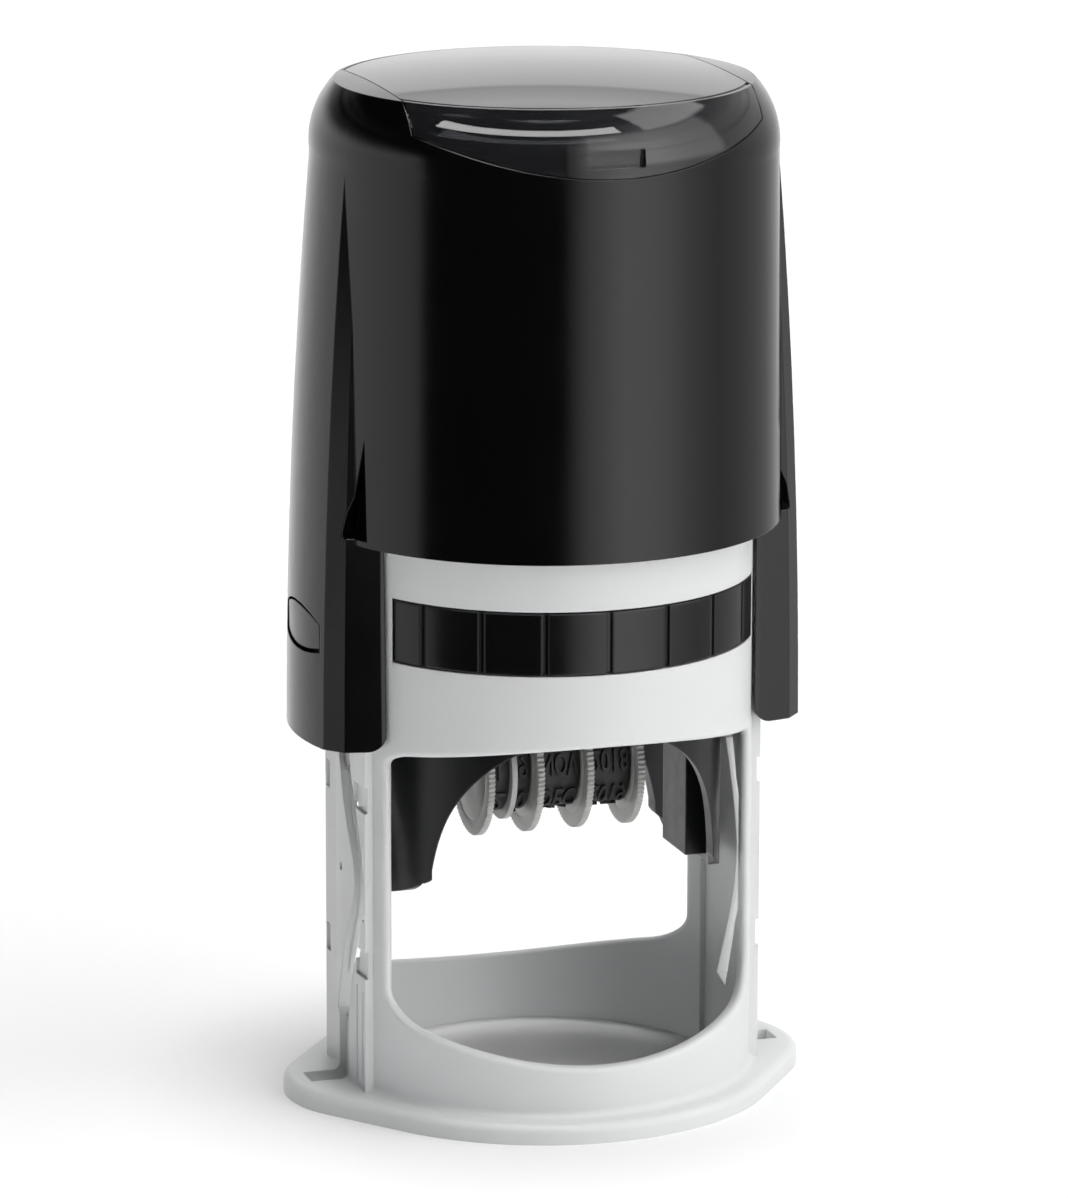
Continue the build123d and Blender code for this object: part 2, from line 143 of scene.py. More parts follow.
def mouldedPlastic(name, look):
    material, tree = newMaterial(name)
    m = mouldSkin
    place = addNode(tree, "ShaderNodeTexCoord").outputs["Object"]
    # slow drift of the pigment, a few centimetres long
    cloud = addNode(tree, "ShaderNodeTexNoise", {
        "Vector": place, "Scale": 1 / (look["cloudSize"] * mm), "Detail": m["cloudDetail"]}).outputs[0]
    tone = addNode(tree, "ShaderNodeMix", {0: cloud, 6: linear(look["colour"]), 7: linear(look["drift"])},
                   data_type="RGBA").outputs[2]
    # mould edges are rounded, and rubbed a little lighter by handling
    rounded = addNode(tree, "ShaderNodeBevel", {"Radius": look["edgeRadius"] * mm},
                      samples=m["edgeSamples"]).outputs[0]
    facing = addNode(tree, "ShaderNodeNewGeometry").outputs["Normal"]
    bend = addNode(tree, "ShaderNodeVectorMath", {0: rounded, 1: facing},
                   operation="DOT_PRODUCT").outputs["Value"]
    edge = addNode(tree, "ShaderNodeMapRange", {
        "Value": bend, "From Min": m["edgeStart"], "From Max": m["edgeFull"],
        "To Min": 0.0, "To Max": look["rub"]}).outputs[0]
    colour = addNode(tree, "ShaderNodeMix", {0: edge, 6: tone, 7: linear(look["rubColour"])},
                     data_type="RGBA").outputs[2]
    # handling film: patches a little duller than the rest
    film = addNode(tree, "ShaderNodeTexNoise", {
        "Vector": place, "Scale": 1 / (look["filmSize"] * mm), "Detail": m["filmDetail"],
        "Roughness": m["filmCoarseness"]}).outputs[0]
    dull = addNode(tree, "ShaderNodeMapRange", {
        "Value": film, "From Min": m["filmRange"][0], "From Max": m["filmRange"][1],
        "To Min": look["roughness"][0], "To Max": look["roughness"][1]}).outputs[0]
    grain = addNode(tree, "ShaderNodeTexNoise", {
        "Vector": place, "Scale": 1 / (look["grainSize"] * mm), "Detail": m["grainDetail"]}).outputs[0]
    bumped = addNode(tree, "ShaderNodeBump", {
        "Strength": 1.0, "Distance": look["grainHeight"] * mm, "Height": grain, "Normal": rounded}).outputs[0]
    skin = addNode(tree, "ShaderNodeBsdfPrincipled", {
        "Base Color": colour, "Roughness": dull, "IOR": look["ior"], "Normal": bumped,
        "Subsurface Weight": look["glow"], "Subsurface Scale": m["glowDepth"] * mm,
        "Subsurface Radius": (1.0, 1.0, 1.0)})
    addNode(tree, "ShaderNodeOutputMaterial", {"Surface": skin.outputs[0]})
    return material


# Injection-moulded ABS, light grey, from a spark-eroded mould: satin, with a fine even grain.
framePlastic = mouldedPlastic("mouldedGreyAbs", {
    "colour": "#dddedf", "drift": "#e3e4e4", "cloudSize": 22,
    "edgeRadius": 0.28, "rub": 0.5, "rubColour": "#e6e6e6",
    "filmSize": 9, "roughness": (0.36, 0.48),
    "grainSize": 0.45, "grainHeight": 0.012, "ior": 1.53, "glow": 0.05})
# Injection-moulded ABS, black, from a polished mould: piano gloss with a faint orange peel.
housingPlastic = mouldedPlastic("polishedBlackAbs", {
    "colour": "#040405", "drift": "#070708", "cloudSize": 30,
    "edgeRadius": 0.2, "rub": 0.1, "rubColour": "#3a3a3c",
    "filmSize": 14, "roughness": (0.13, 0.19),
    "grainSize": 3.0, "grainHeight": 0.006, "ior": 1.53, "glow": 0.0})
# The same ABS from a fine-blasted mould: a softer gloss where the thumb presses.
buttonPlastic = mouldedPlastic("satinBlackAbs", {
    "colour": "#101011", "drift": "#141415", "cloudSize": 12,
    "edgeRadius": 0.4, "rub": 0.35, "rubColour": "#4a4a4c",
    "filmSize": 5, "roughness": (0.2, 0.28),
    "grainSize": 0.5, "grainHeight": 0.006, "ior": 1.53, "glow": 0.0})
# Black ABS from a plain steel mould: glossy ribs, with slightly dull patches.
cartridgePlastic = mouldedPlastic("glossBlackAbs", {
    "colour": "#0a0a0b", "drift": "#0e0e0f", "cloudSize": 15,
    "edgeRadius": 0.5, "rub": 0.2, "rubColour": "#3c3c3e",
    "filmSize": 6, "roughness": (0.16, 0.24),
    "grainSize": 1.5, "grainHeight": 0.006, "ior": 1.53, "glow": 0.0})
# Injection-moulded acetal, black: waxy satin, greyer than the gloss parts.
rotorPlastic = mouldedPlastic("mouldedBlackAcetal", {
    "colour": "#17181a", "drift": "#1d1e20", "cloudSize": 10,
    "edgeRadius": 0.35, "rub": 0.6, "rubColour": "#55565a",
    "filmSize": 4, "roughness": (0.3, 0.42),
    "grainSize": 0.35, "grainHeight": 0.008, "ior": 1.48, "glow": 0.0})
# Natural acetal: milky, light passes a little way in.
wheelPlastic = mouldedPlastic("naturalAcetal", {
    "colour": "#b3b3b0", "drift": "#bebebb", "cloudSize": 6,
    "edgeRadius": 0.12, "rub": 0.5, "rubColour": "#d6d6d3",
    "filmSize": 3, "roughness": (0.3, 0.4),
    "grainSize": 0.3, "grainHeight": 0.004, "ior": 1.48, "glow": 0.2})
# Moulded stamp rubber: matt black, dusty on its edges, with a fine pitted skin.
bandRubber = mouldedPlastic("mouldedBlackRubber", {
    "colour": "#141416", "drift": "#1b1b1d", "cloudSize": 4,
    "edgeRadius": 0.12, "rub": 0.7, "rubColour": "#48484b",
    "filmSize": 1.5, "roughness": (0.42, 0.62),
    "grainSize": 0.18, "grainHeight": 0.01, "ior": 1.52, "glow": 0.0})
# Laser-cut stamp rubber: ink-stained brown-black, a little rougher than the moulded bands.
printRubber = mouldedPlastic("laserCutRubber", {
    "colour": "#2a2325", "drift": "#352c2e", "cloudSize": 5,
    "edgeRadius": 0.1, "rub": 0.5, "rubColour": "#5a5052",
    "filmSize": 2, "roughness": (0.5, 0.7),
    "grainSize": 0.15, "grainHeight": 0.012, "ior": 1.52, "glow": 0.0})

# sizes of the other finishes in mm
coverLook = {"colour": "#55565a", "drift": "#66676b", "cloudSize": 18, "hazeSize": 7,
             "hazeRange": (0.4, 0.75), "roughness": (0.02, 0.05), "flowHeight": 0.004}
steelLook = {"dark": "#8f9092", "bright": "#b4b4b3", "lineWidth": 0.12, "lineStretch": 0.05, "filmSize": 3,
             "lineRange": (0.3, 0.7), "roughness": (0.22, 0.38), "lineHeight": 0.004}
feltLook = {"dark": "#0c0d1c", "wet": "#1c1e36", "fibreSize": 0.35, "fibreHeight": 0.12, "poolSize": 8,
            "roughness": (0.55, 0.95)}


def smokedPolystyrene(name):
    # Clear polystyrene with a smoke tint, polished: sharp reflections over the black shell below it.
    material, tree = newMaterial(name)
    look = coverLook
    place = addNode(tree, "ShaderNodeTexCoord").outputs["Object"]
    cloud = addNode(tree, "ShaderNodeTexNoise", {
        "Vector": place, "Scale": 1 / (look["cloudSize"] * mm), "Detail": 2.0}).outputs[0]
    tone = addNode(tree, "ShaderNodeMix", {0: cloud, 6: linear(look["colour"]), 7: linear(look["drift"])},
                   data_type="RGBA").outputs[2]
    haze = addNode(tree, "ShaderNodeTexNoise", {
        "Vector": place, "Scale": 1 / (look["hazeSize"] * mm), "Detail": 6.0}).outputs[0]
    dull = addNode(tree, "ShaderNodeMapRange", {
        "Value": haze, "From Min": look["hazeRange"][0], "From Max": look["hazeRange"][1],
        "To Min": look["roughness"][0], "To Max": look["roughness"][1]}).outputs[0]
    flow = addNode(tree, "ShaderNodeBump", {"Distance": look["flowHeight"] * mm, "Height": cloud}).outputs[0]
    skin = addNode(tree, "ShaderNodeBsdfPrincipled", {
        "Base Color": tone, "Roughness": dull, "IOR": 1.59, "Transmission Weight": 0.9, "Normal": flow})
    addNode(tree, "ShaderNodeOutputMaterial", {"Surface": skin.outputs[0]})
    return material


def drawnSteel(name, along):
    # Drawn steel wire and rod: fine lines along the draw, a little oil film.
    material, tree = newMaterial(name)
    look = steelLook
    place = addNode(tree, "ShaderNodeTexCoord").outputs["Object"]
    stretch = [look["lineStretch"] if axis == along else 1 for axis in "XYZ"]
    lay = addNode(tree, "ShaderNodeMapping", {"Vector": place, "Scale": stretch}).outputs[0]
    lines = addNode(tree, "ShaderNodeTexNoise", {
        "Vector": lay, "Scale": 1 / (look["lineWidth"] * mm), "Detail": 3.0}).outputs[0]
    film = addNode(tree, "ShaderNodeTexNoise", {
        "Vector": place, "Scale": 1 / (look["filmSize"] * mm), "Detail": 4.0}).outputs[0]
    tone = addNode(tree, "ShaderNodeMix", {0: film, 6: linear(look["dark"]), 7: linear(look["bright"])},
                   data_type="RGBA").outputs[2]
    dull = addNode(tree, "ShaderNodeMapRange", {
        "Value": lines, "From Min": look["lineRange"][0], "From Max": look["lineRange"][1],
        "To Min": look["roughness"][0], "To Max": look["roughness"][1]}).outputs[0]
    relief = addNode(tree, "ShaderNodeBump", {"Distance": look["lineHeight"] * mm,
                                              "Height": lines}).outputs[0]
    skin = addNode(tree, "ShaderNodeBsdfPrincipled", {
        "Base Color": tone, "Metallic": 1.0, "Roughness": dull, "Normal": relief})
    addNode(tree, "ShaderNodeOutputMaterial", {"Surface": skin.outputs[0]})
    return material


def inkedFelt(name):
    # Pressed wool felt soaked with blue-black stamp ink: matt, fibrous, darker where the ink lies.
    material, tree = newMaterial(name)
    look = feltLook
    place = addNode(tree, "ShaderNodeTexCoord").outputs["Object"]
    fibres = addNode(tree, "ShaderNodeTexNoise", {
        "Vector": place, "Scale": 1 / (look["fibreSize"] * mm), "Detail": 8.0, "Roughness": 0.7,
        "Distortion": 2.5}).outputs[0]
    pools = addNode(tree, "ShaderNodeTexNoise", {
        "Vector": place, "Scale": 1 / (look["poolSize"] * mm), "Detail": 3.0}).outputs[0]
    tone = addNode(tree, "ShaderNodeMix", {0: pools, 6: linear(look["dark"]), 7: linear(look["wet"])},
                   data_type="RGBA").outputs[2]
    dull = addNode(tree, "ShaderNodeMapRange", {
        "Value": pools, "To Min": look["roughness"][0], "To Max": look["roughness"][1]}).outputs[0]
    relief = addNode(tree, "ShaderNodeBump", {"Distance": look["fibreHeight"] * mm,
                                              "Height": fibres}).outputs[0]
    skin = addNode(tree, "ShaderNodeBsdfPrincipled", {
        "Base Color": tone, "Roughness": dull, "Sheen Weight": 0.15, "Normal": relief})
    addNode(tree, "ShaderNodeOutputMaterial", {"Surface": skin.outputs[0]})
    return material


coverPlastic = smokedPolystyrene("smokedPolystyrene")
pinSteel = drawnSteel("drawnSteelPin", "X")
springSteel = drawnSteel("drawnSpringWire", "Z")
padFelt = inkedFelt("inkedFelt")

finishes = {
    "base_frame": framePlastic, "housing_shell": housingPlastic, "top_cover": coverPlastic,
    "lock_button_left": buttonPlastic, "lock_button_right": buttonPlastic,
    "carrier_leg_left": rotorPlastic, "carrier_leg_right": rotorPlastic,
    "ink_cartridge_case": cartridgePlastic, "rotor_body": rotorPlastic, "band_bridge": rotorPlastic,
    "band_separator": wheelPlastic, "axle_pins": pinSteel, "cam_pins": pinSteel, "wheel_axle": pinSteel,
    "text_plate": printRubber,
}
for nodeName, material in finishes.items():
    paint(nodes[nodeName], material)
print("finishes on", len(finishes), "CAD nodes")


# date wheels: serrated thumb disc with a shallow web, and a ribbed drum that drives the band

wheelSizes = {
    "teeth": 84,
    "toothDepth": 0.36 * mm,
    "rimInner": 6.9 * mm,
    "webThickness": 0.82 * mm,
    "webLap": 0.1 * mm,          # how far the web reaches into the rim
    "discThickness": 0.9 * mm,
    "drumRadius": 4.5 * mm,
    "drumTeeth": 12,
    "drumToothDepth": 0.25 * mm,
    "hubRadius": 2.4 * mm,
    "axleHole": 1.26 * mm,
    "edgeRound": 0.05 * mm,
    "turnBetween": 0.04,         # radians from one wheel to the next, so that the teeth don't line up
    "pointsPerTooth": 6,
    "holePoints": 64,
}


def ringGroup():
    # closed ring: wavy outer edge, round hole, from one height to another along Z
    tree, given = newTree("wavyRing", [("Radius", "Float"), ("Depth", "Float"), ("Teeth", "Int"),
                                       ("Hole", "Float"), ("From", "Float"), ("To", "Float")])
    perTooth = wheelSizes["pointsPerTooth"]
    count = addNode(tree, "ShaderNodeMath", {0: given["Teeth"], 1: float(perTooth)},
                    operation="MULTIPLY").outputs[0]
    outer = addNode(tree, "GeometryNodeCurvePrimitiveCircle", {"Resolution": count, "Radius": 1.0}).outputs[0]
    index = addNode(tree, "GeometryNodeInputIndex").outputs[0]
    turn = addNode(tree, "ShaderNodeMath", {0: index, 1: tau / perTooth}, operation="MULTIPLY").outputs[0]
    wave = addNode(tree, "ShaderNodeMath", {0: turn}, operation="COSINE").outputs[0]
    dip = addNode(tree, "ShaderNodeMapRange", {"Value": wave, "From Min": -1.0, "From Max": 1.0,
                                               "To Min": 1.0, "To Max": 0.0}).outputs[0]
    cut = addNode(tree, "ShaderNodeMath", {0: dip, 1: given["Depth"]}, operation="MULTIPLY").outputs[0]
    reach = addNode(tree, "ShaderNodeMath", {0: given["Radius"], 1: cut}, operation="SUBTRACT").outputs[0]
    position = addNode(tree, "GeometryNodeInputPosition").outputs[0]
    pushed = addNode(tree, "ShaderNodeVectorMath", {0: position, "Scale": reach},
                     operation="SCALE").outputs[0]
    wavy = addNode(tree, "GeometryNodeSetPosition", {"Geometry": outer, "Position": pushed}).outputs[0]
    hole = addNode(tree, "GeometryNodeCurvePrimitiveCircle", {
        "Resolution": wheelSizes["holePoints"], "Radius": given["Hole"]}).outputs[0]
    both = addNode(tree, "GeometryNodeJoinGeometry", {0: wavy})
    tree.links.new(hole, both.inputs[0])
    flat = addNode(tree, "GeometryNodeFillCurve", {"Curve": both.outputs[0]}, mode="TRIANGLES").outputs[0]
    lift = addNode(tree, "ShaderNodeCombineXYZ", {"Z": given["From"]}).outputs[0]
    floorFace = addNode(tree, "GeometryNodeTransform", {"Geometry": flat, "Translation": lift}).outputs[0]
    height = addNode(tree, "ShaderNodeMath", {0: given["To"], 1: given["From"]},
                     operation="SUBTRACT").outputs[0]
    up = addNode(tree, "ShaderNodeCombineXYZ", {"Z": height}).outputs[0]
    raised = addNode(tree, "GeometryNodeExtrudeMesh", {"Mesh": floorFace, "Offset": up, "Offset Scale": 1.0,
                                                       "Individual": False}).outputs[0]
    under = addNode(tree, "GeometryNodeFlipFaces", {"Mesh": floorFace}).outputs[0]
    whole = addNode(tree, "GeometryNodeJoinGeometry", {0: raised})
    tree.links.new(under, whole.inputs[0])
    closed = addNode(tree, "GeometryNodeMergeByDistance", {"Geometry": whole.outputs[0],
                                                           "Distance": 0.0001 * mm}).outputs[0]
    addNode(tree, "NodeGroupOutput", {"Geometry": closed})
    return tree


def wheelTree(ring):
    tree, given = newTree("dateWheel", [("Radius", "Float"), ("Disc X", "Float"), ("Drum End", "Float"),
                                        ("Axle Z", "Float"), ("Teeth", "Int"), ("Turn", "Float"),
                                        ("Material", "Material")])
    s = wheelSizes
    half = s["discThickness"] / 2
    web = s["webThickness"] / 2
    # the drum runs to the left on some wheels and to the right on others
    left, right = [addNode(tree, "ShaderNodeMath", {0: given["Drum End"], 1: 0.0}, operation=which).outputs[0]
                   for which in ("MINIMUM", "MAXIMUM")]
    # radius, tooth depth, teeth, hole, from and to along the axle
    rings = ((given["Radius"], s["toothDepth"], given["Teeth"], s["rimInner"], -half, half),
             (s["rimInner"] + s["webLap"], 0.0, 16, s["axleHole"], -web, web),
             (s["drumRadius"], s["drumToothDepth"], s["drumTeeth"], s["axleHole"], left, right),
             (s["hubRadius"], 0.0, 12, s["axleHole"], -half, half))
    labels = ("Radius", "Depth", "Teeth", "Hole", "From", "To")
    rim, disc, drum, hub = [
        addNode(tree, "GeometryNodeGroup", dict(zip(labels, sizes)), node_tree=ring).outputs[0]
        for sizes in rings]
    whole = addNode(tree, "GeometryNodeJoinGeometry", {0: rim})
    for part in (disc, drum, hub):
        tree.links.new(part, whole.inputs[0])
    spin = addNode(tree, "ShaderNodeCombineXYZ", {"Z": given["Turn"]}).outputs[0]
    turned = addNode(tree, "GeometryNodeTransform", {"Geometry": whole.outputs[0],
                                                     "Rotation": spin}).outputs[0]
    place = addNode(tree, "ShaderNodeCombineXYZ", {"X": given["Disc X"], "Z": given["Axle Z"]}).outputs[0]
    stood = addNode(tree, "GeometryNodeTransform", {"Geometry": turned, "Translation": place,
                                                    "Rotation": Euler((0, pi / 2, 0))}).outputs[0]
    closeTree(tree, stood, given["Material"])
    return tree


def softRim(holder):
    bevel = holder.modifiers.new("bevel", "BEVEL")
    bevel.width = wheelSizes["edgeRound"]
    bevel.segments = 2
    bevel.limit_method = "ANGLE"
    bevel.angle_limit = radians(50)


def wheelLayout(name):
    # where the CAD wheel has its disc, its drum end and its axle
    low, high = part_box("date_wheel_" + name)
    bandLow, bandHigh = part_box("date_band_" + name)
    discOnLeft = bandLow.x > (low.x + high.x) / 2 - (high.x - low.x) / 2 + 0.1 * mm
    thickness = wheelSizes["discThickness"]
    discX = low.x + thickness / 2 if discOnLeft else high.x - thickness / 2
    drumEnd = high.x - discX if discOnLeft else low.x - discX
    return {"disc": discX, "drumEnd": drumEnd, "radius": (high.z - low.z) / 2, "axleZ": (high.z + low.z) / 2,
            "bandLow": bandLow, "bandHigh": bandHigh}


wheelNames = ("tens", "units", "month", "year")
layouts = {name: wheelLayout(name) for name in wheelNames}
wheelNodes = wheelTree(ringGroup())
for order, name in enumerate(wheelNames):
    layout = layouts[name]
    wheel = runTree(wheelNodes, "dateWheel_" + name, {
        "Radius": layout["radius"], "Disc X": layout["disc"], "Drum End": layout["drumEnd"],
        "Axle Z": layout["axleZ"], "Teeth": wheelSizes["teeth"], "Turn": wheelSizes["turnBetween"] * order,
        "Material": wheelPlastic}, finish=softRim)
    smoothByAngle(wheel, 35)
    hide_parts("date_wheel_" + name)
    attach(wheel, "wheel_" + name)
print("date wheels made")


# date bands: rubber loops with raised, mirrored characters

bandSizes = {
    "thickness": 0.8 * mm,
    "raise": 0.45 * mm,          # height of a character over the band
    "noseHalf": 3.0 * mm,
    "noseRound": 1.2 * mm,
    "drumInner": 4.8 * mm,
    "characterHeight": 2.9 * mm,
    "sideMargin": 0.3 * mm,
    "sunk": 0.1 * mm,            # how far a character reaches into the band
    "stroke": 0.05 * mm,         # added to each side of a character's lines
    "bendCuts": 5,               # cuts across a character, so that it bends with the band
    "noseSteps": 10,
    "drumSteps": 44,
    "stripRows": 121,
}
bandWords = {
    "tens": ["1", "2", "3", "", "1", "2", "3", "", "1", "2", "3", ""],
    "units": ["1", "2", "3", "4", "5", "6", "7", "8", "9", "0", "1", "2"],
    "month": ["JAN", "FEB", "MAR", "APR", "MAY", "JUN", "JUL", "AUG", "SEP", "OCT", "NOV", "DEC"],
    "year": ["2018", "2019", "2020", "2021", "2022", "2023", "2024", "2025", "2026", "2027", "2028", "2029"],
}
bandTurn = {"tens": 8, "units": 4, "month": 6, "year": 8}     # which character is on the nose


def loopPoints(axleZ, noseTop):
    # the band's inner face in Y and Z, from the middle of the nose down the front side and back up
    s = bandSizes
    drum, small = s["drumInner"], s["noseRound"]
    cornerY, cornerZ = s["noseHalf"] - small, noseTop - small
    rise = cornerZ - axleZ
    # angle where the straight runs touch both circles
    side = atan2(rise, cornerY) - acos((drum - small) / hypot(rise, cornerY))
    arcs = (((cornerY, cornerZ), small, pi / 2, side, s["noseSteps"]),
            ((0.0, axleZ), drum, side, -pi - side, s["drumSteps"]),
            ((-cornerY, cornerZ), small, pi - side, pi / 2, s["noseSteps"]))
    points = []
    for (y, z), radius, start, end, steps in arcs:
        for i in range(steps + 1):
            angle = start + (end - start) * i / steps
            points.append((y + radius * cos(angle), z + radius * sin(angle)))
    return [(0.0, noseTop)] + points[::-1]


def loopCurve(name, points):
    data = bpy.data.curves.new(name, "CURVE")
    data.dimensions = "3D"
    line = data.splines.new("POLY")
    line.points.add(len(points) - 1)
    for point, (y, z) in zip(line.points, points):
        point.co = (0.0, y, z, 1.0)
    line.use_cyclic_u = True
    curve = bpy.data.objects.new(name, data)
    scene.collection.objects.link(curve)
    around = sum(hypot(b[0] - a[0], b[1] - a[1]) for a, b in zip(points, points[1:] + points[:1]))
    return curve, around


def flatWords(words, turn, width, pitch):
    # every word of a band laid out flat: X across the band, Y along it, Z away from it
    s = bandSizes
    built = bmesh.new()
    room = width - 2 * s["sideMargin"]
    deep = s["sunk"]
    for k in range(len(words)):
        word = words[(k + turn) % len(words)]
        if not word:
            continue
        text = bpy.data.curves.new("word", "FONT")
        text.body = word
        text.size = s["characterHeight"] * 1.4      # near the final height, which is set below
        text.extrude = (s["raise"] + deep) / 2
        text.offset = s["stroke"]
        text.resolution_u = 3
        holder = bpy.data.objects.new("word", text)
        scene.collection.objects.link(holder)
        bpy.context.view_layer.update()
        mesh = bpy.data.meshes.new_from_object(holder.evaluated_get(bpy.context.evaluated_depsgraph_get()))
        bpy.data.objects.remove(holder)
        xs = [v.co.x for v in mesh.vertices]
        ys = [v.co.y for v in mesh.vertices]
        wide, tall = max(xs) - min(xs), max(ys) - min(ys)
        squeeze = min(1.0, room / wide)
        stretch = s["characterHeight"] / tall
        lift = s["thickness"] + (s["raise"] - deep) / 2
        for v in mesh.vertices:
            v.co = ((v.co.x - (max(xs) + min(xs)) / 2) * squeeze,
                    (v.co.y - (max(ys) + min(ys)) / 2) * stretch + k * pitch, v.co.z + lift)
        built.from_mesh(mesh)
        for i in range(1, s["bendCuts"]):
            level = k * pitch + s["characterHeight"] * (i / s["bendCuts"] - 0.5)
            bmesh.ops.bisect_plane(built, geom=built.verts[:] + built.edges[:] + built.faces[:],
                                   plane_co=(0, level, 0), plane_no=(0, 1, 0))
    flat = bpy.data.meshes.new("words")
    built.to_mesh(flat)
    built.free()
    return flat


def bandTree():
    # a flat strip and its characters are wrapped round the loop
    tree, given = newTree("dateBand", [("Loop", "Object"), ("Width", "Float"), ("Thickness", "Float"),
                                       ("Middle X", "Float"), ("Steps", "Int"), ("Material", "Material")])
    loop = addNode(tree, "GeometryNodeObjectInfo", {"Object": given["Loop"]}).outputs["Geometry"]
    around = addNode(tree, "GeometryNodeCurveLength", {"Curve": loop}).outputs[0]
    strip = addNode(tree, "GeometryNodeMeshGrid", {
        "Size X": given["Width"], "Size Y": around, "Vertices X": 2,
        "Vertices Y": given["Steps"]}).outputs["Mesh"]
    half = addNode(tree, "ShaderNodeMath", {0: around, 1: 0.5}, operation="MULTIPLY").outputs[0]
    shift = addNode(tree, "ShaderNodeCombineXYZ", {"Y": half}).outputs[0]
    under = addNode(tree, "GeometryNodeTransform", {"Geometry": strip, "Translation": shift}).outputs[0]
    up = addNode(tree, "ShaderNodeCombineXYZ", {"Z": given["Thickness"]}).outputs[0]
    raised = addNode(tree, "GeometryNodeExtrudeMesh", {"Mesh": under, "Offset": up, "Offset Scale": 1.0,
                                                       "Individual": False}).outputs[0]
    back = addNode(tree, "GeometryNodeFlipFaces", {"Mesh": under}).outputs[0]
    flat = addNode(tree, "GeometryNodeJoinGeometry", {0: raised})
    tree.links.new(back, flat.inputs[0])
    tree.links.new(given["Geometry"], flat.inputs[0])
    position = addNode(tree, "GeometryNodeInputPosition").outputs[0]
    at = addNode(tree, "ShaderNodeSeparateXYZ", {0: position}).outputs
    along = addNode(tree, "ShaderNodeMath", {0: at["Y"], 1: around}, operation="FLOORED_MODULO").outputs[0]
    on = addNode(tree, "GeometryNodeSampleCurve", {"Curves": loop, "Length": along}, mode="LENGTH").outputs
    across = addNode(tree, "ShaderNodeCombineXYZ", {"X": 1.0}).outputs[0]
    outward = addNode(tree, "ShaderNodeVectorMath", {0: on["Tangent"], 1: across},
                      operation="CROSS_PRODUCT").outputs[0]
    away = addNode(tree, "ShaderNodeVectorMath", {0: outward, "Scale": at["Z"]}, operation="SCALE").outputs[0]
    sideways = addNode(tree, "ShaderNodeMath", {0: at["X"], 1: given["Middle X"]}).outputs[0]
    slide = addNode(tree, "ShaderNodeCombineXYZ", {"X": sideways}).outputs[0]
    base = addNode(tree, "ShaderNodeVectorMath", {0: on["Position"], 1: away}).outputs[0]
    target = addNode(tree, "ShaderNodeVectorMath", {0: base, 1: slide}).outputs[0]
    wrapped = addNode(tree, "GeometryNodeSetPosition", {"Geometry": flat.outputs[0],
                                                        "Position": target}).outputs[0]
    joined = addNode(tree, "GeometryNodeMergeByDistance", {"Geometry": wrapped,
                                                           "Distance": 0.0005 * mm}).outputs[0]
    # wrapping mirrors the strip
    turned = addNode(tree, "GeometryNodeFlipFaces", {"Mesh": joined}).outputs[0]
    closeTree(tree, turned, given["Material"])
    return tree


bandNodes = bandTree()
for name in wheelNames:
    layout = layouts[name]
    low, high = layout["bandLow"], layout["bandHigh"]
    noseTop = high.z - bandSizes["raise"] - bandSizes["thickness"]
    loop, around = loopCurve("loop_" + name, loopPoints(layout["axleZ"], noseTop))
    words = bandWords[name]
    letters = flatWords(words, bandTurn[name], high.x - low.x, around / len(words))
    band = runTree(bandNodes, "dateBand_" + name, {
        "Loop": loop, "Width": high.x - low.x, "Thickness": bandSizes["thickness"],
        "Middle X": (low.x + high.x) / 2,
        "Steps": bandSizes["stripRows"], "Material": bandRubber}, startMesh=letters)
    bpy.data.objects.remove(loop)
    smoothByAngle(band, 30)
    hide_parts("date_band_" + name)
    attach(band, "rotor")
print("date bands made")


# return spring: round wire, closed end coils

springSizes = {
    "wire": 1.3 * mm,
    "drawn": 0.96,                # share of the nominal wire that is drawn, to clear the seats
    "clearance": 0.05 * mm,
    "turns": 9.5,
    "pointsPerTurn": 40,
    "wireSides": 16,
    "closedTurns": (0.1, 0.024),  # share of the wire at each end, and how far it climbs
    "pressed": 14.7 / 58.8,
}


def springTree():
    tree, given = newTree("returnSpring", [("Coil Radius", "Float"), ("Wire", "Float"), ("Turns", "Float"),
                                           ("Points", "Int"), ("Bottom", "Float"), ("Top", "Float"),
                                           ("Material", "Material")])
    spiral = addNode(tree, "GeometryNodeCurveSpiral", {
        "Resolution": given["Points"], "Rotations": given["Turns"], "Start Radius": given["Coil Radius"],
        "End Radius": given["Coil Radius"], "Height": 0.0}).outputs[0]
    along = addNode(tree, "GeometryNodeSplineParameter").outputs["Factor"]
    rise = addNode(tree, "ShaderNodeFloatCurve", {"Value": along})
    # the first and last turns lie nearly flat
    line = rise.mapping.curves[0]
    line.points[0].location, line.points[1].location = (0.0, 0.0), (1.0, 1.0)
    share, climb = springSizes["closedTurns"]
    line.points.new(share, climb)
    line.points.new(1 - share, 1 - climb)
    for point in line.points:
        point.handle_type = "VECTOR"
    rise.mapping.update()
    height = addNode(tree, "ShaderNodeMapRange", {"Value": rise.outputs[0], "To Min": given["Bottom"],
                                                  "To Max": given["Top"]}).outputs[0]
    lift = addNode(tree, "ShaderNodeCombineXYZ", {"Z": height}).outputs[0]
    path = addNode(tree, "GeometryNodeSetPosition", {"Geometry": spiral, "Offset": lift}).outputs[0]
    thin = addNode(tree, "ShaderNodeMath", {0: given["Wire"], 1: 0.5}, operation="MULTIPLY").outputs[0]
    section = addNode(tree, "GeometryNodeCurvePrimitiveCircle", {
        "Resolution": springSizes["wireSides"], "Radius": thin}).outputs[0]
    wire = addNode(tree, "GeometryNodeCurveToMesh", {"Curve": path, "Profile Curve": section,
                                                     "Fill Caps": True}).outputs[0]
    closeTree(tree, wire, given["Material"])
    return tree


